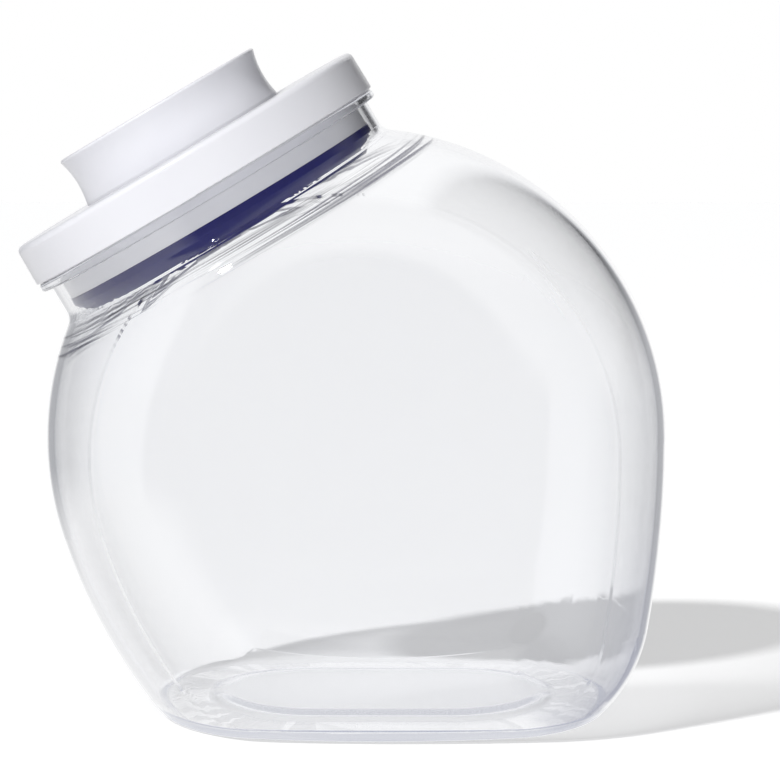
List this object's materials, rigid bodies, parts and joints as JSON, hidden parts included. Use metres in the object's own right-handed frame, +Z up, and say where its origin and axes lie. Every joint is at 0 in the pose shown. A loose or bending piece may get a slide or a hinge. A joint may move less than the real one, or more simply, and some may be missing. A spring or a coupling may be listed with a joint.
{
  "type": "tilted-mouth storage jar",
  "caption": "Clear flattened-ball storage jar with a tilted round mouth and a white lid whose pop-up push button squeezes a gasket to seal it.",
  "frame": {"origin": "on the resting plane, below the middle of the bounding box", "axes": "+Z up, the mouth leans towards -X, the flat faces look along -Y (front) and +Y (back)"},
  "size_m": [0.2382, 0.164, 0.2447],
  "materials": {
    "clear_plastic": "clear, polished",
    "white_plastic": "satin gloss",
    "navy_silicone": "satin",
    "inner_plastic": "as moulded",
    "steel": "plain"
  },
  "bodies": {
    "jar": {"jar_body": "clear_plastic"},
    "lid": {"lid_cover": "white_plastic", "lid_plug": "white_plastic", "cover_screws": "steel", "gasket": "navy_silicone", "latch_pin": "steel", "button_spring": "steel"},
    "button": {"button_shell": "white_plastic", "button_core": "inner_plastic", "core_screws": "steel"},
    "clamp": {"clamp_plate": "white_plastic", "plate_screws": "steel", "lift_bridge_right": "inner_plastic", "lift_bridge_back": "inner_plastic", "lift_bridge_left": "inner_plastic", "lift_bridge_front": "inner_plastic"},
    "latch": {"latch_arm": "inner_plastic"},
    "slider_right": {"wedge_slider_right": "inner_plastic"},
    "slider_back": {"wedge_slider_back": "inner_plastic"},
    "slider_left": {"wedge_slider_left": "inner_plastic"},
    "slider_front": {"wedge_slider_front": "inner_plastic"}
  },
  "joints": [
    {"name": "lid_lift", "type": "slide", "parent": "jar", "child": "lid", "axis": [-0.5075, 0, 0.8616], "range_m": [0, 0.12]},
    {"name": "button_push", "type": "slide", "parent": "lid", "child": "button", "axis": [0.5075, 0, -0.8616], "range_m": [0, 0.018], "stiffness_N_per_m": 400, "springref_m": -0.012, "deforming": ["button_spring"]},
    {"name": "clamp_rise", "type": "slide", "parent": "lid", "child": "clamp", "axis": [-0.5075, 0, 0.8616], "range_m": [0, 0.003], "deforming": ["gasket"]},
    {"name": "latch_swing", "type": "hinge", "parent": "lid", "child": "latch", "pos_m": [-0.03343, 0.01513, 0.1945], "axis": [-0.6093, -0.7071, -0.3589], "range_deg": [0, 10.16]},
    {"name": "slider_right_out", "type": "slide", "parent": "lid", "child": "slider_right", "axis": [0.8616, 0, 0.5075], "range_m": [0, 0.006]},
    {"name": "slider_back_out", "type": "slide", "parent": "lid", "child": "slider_back", "axis": [0, 1, 0], "range_m": [0, 0.006]},
    {"name": "slider_left_out", "type": "slide", "parent": "lid", "child": "slider_left", "axis": [-0.8616, 0, -0.5075], "range_m": [0, 0.006]},
    {"name": "slider_front_out", "type": "slide", "parent": "lid", "child": "slider_front", "axis": [0, -1, 0], "range_m": [0, 0.006]}
  ],
  "couplings": [
    {"joint": "clamp_rise", "follows": "button_push", "ratio": 0.16667},
    {"joint": "latch_swing", "follows": "button_push", "rad_per_m": 9.8554},
    {"joint": "slider_right_out", "follows": "button_push", "ratio": 0.33333},
    {"joint": "slider_back_out", "follows": "button_push", "ratio": 0.33333},
    {"joint": "slider_left_out", "follows": "button_push", "ratio": 0.33333},
    {"joint": "slider_front_out", "follows": "button_push", "ratio": 0.33333}
  ]
}
